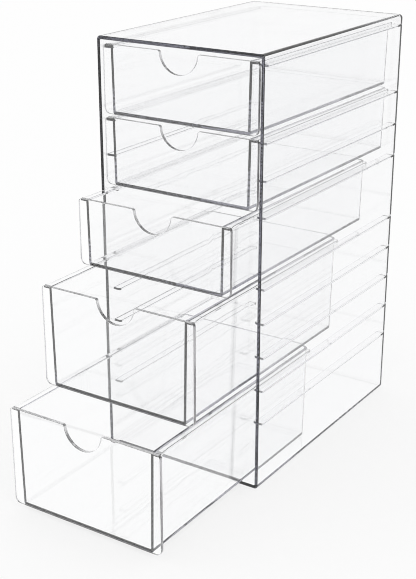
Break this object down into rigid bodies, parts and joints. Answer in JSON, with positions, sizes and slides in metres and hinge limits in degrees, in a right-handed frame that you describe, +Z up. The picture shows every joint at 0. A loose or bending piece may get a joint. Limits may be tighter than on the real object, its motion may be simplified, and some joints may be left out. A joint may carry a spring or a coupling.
{
  "type": "craft stamp storage drawers",
  "caption": "Clear plastic desktop case with shallow and deep sliding drawers that have finger notches, for keeping craft stamps and small parts.",
  "frame": {"origin": "centre of the case's flat underside", "axes": "+Z up, the open front and the drawer fronts face -Y, +X to the right seen from the front"},
  "size_m": [0.15, 0.3565, 0.35],
  "materials": {
    "clear_plastic": "clear glossy moulded plastic"
  },
  "bodies": {
    "case": {"case": "clear_plastic"},
    "drawer_1": {"drawer_1_tray": "clear_plastic", "drawer_1_front": "clear_plastic"},
    "drawer_2": {"drawer_2_tray": "clear_plastic", "drawer_2_front": "clear_plastic"},
    "drawer_3": {"drawer_3_tray": "clear_plastic", "drawer_3_front": "clear_plastic"},
    "drawer_4": {"drawer_4_tray": "clear_plastic", "drawer_4_front": "clear_plastic"},
    "drawer_5": {"drawer_5_tray": "clear_plastic", "drawer_5_front": "clear_plastic"}
  },
  "joints": [
    {"name": "drawer_1_slide", "type": "slide", "parent": "case", "child": "drawer_1", "axis": [0, -1, 0], "range_m": [0, 0.17]},
    {"name": "drawer_2_slide", "type": "slide", "parent": "case", "child": "drawer_2", "axis": [0, -1, 0], "range_m": [0, 0.17]},
    {"name": "drawer_3_slide", "type": "slide", "parent": "case", "child": "drawer_3", "axis": [0, -1, 0], "range_m": [-0.036, 0.134]},
    {"name": "drawer_4_slide", "type": "slide", "parent": "case", "child": "drawer_4", "axis": [0, -1, 0], "range_m": [-0.084, 0.086]},
    {"name": "drawer_5_slide", "type": "slide", "parent": "case", "child": "drawer_5", "axis": [0, -1, 0], "range_m": [-0.127, 0.043]}
  ]
}
